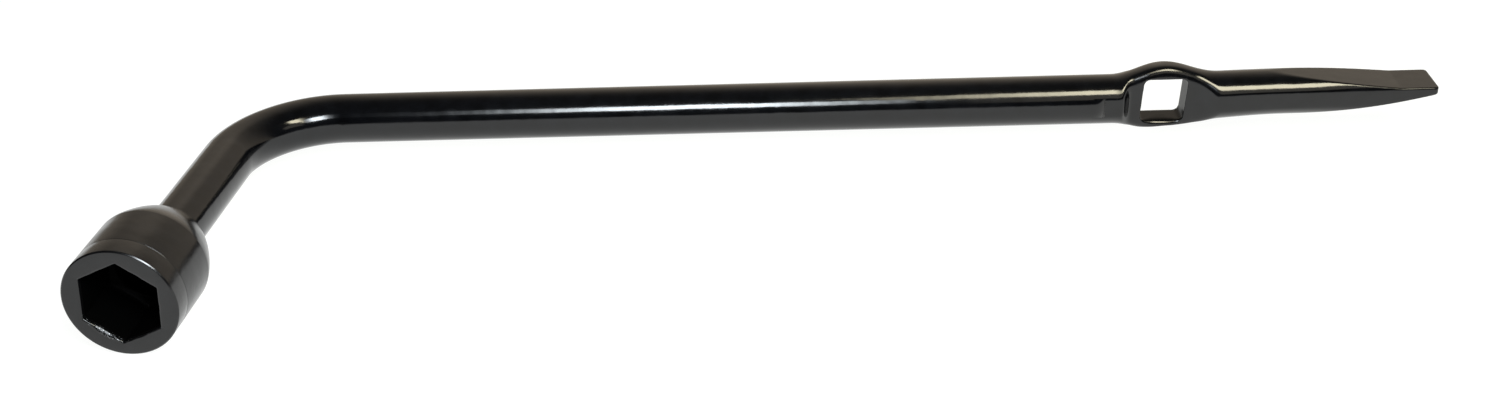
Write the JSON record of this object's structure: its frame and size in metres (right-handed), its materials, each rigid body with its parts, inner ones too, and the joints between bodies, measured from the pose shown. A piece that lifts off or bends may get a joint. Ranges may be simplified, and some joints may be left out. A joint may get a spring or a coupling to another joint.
{
  "type": "lug wrench",
  "caption": "L-shaped lug wrench: a hexagon socket on a bent round bar that ends in a square jack-drive eye and a flat pry tip.",
  "frame": {"origin": "centre of the socket's mouth, on the socket's axis", "axes": "-Y out of the socket's mouth, +X towards the handle's free end (the handle leans 4.7 degrees from it), +Z square to the plane of the L, on the side that the picture was taken from"},
  "size_m": [0.3473, 0.1338, 0.029],
  "materials": {
    "socket_enamel": "gloss black enamel over forged steel",
    "bar_enamel": "gloss black enamel over round steel bar",
    "weld_enamel": "gloss black enamel over a fillet weld"
  },
  "bodies": {
    "root": {"socket": "socket_enamel", "handle_bar": "bar_enamel", "neck_weld": "weld_enamel"}
  },
  "joints": []
}
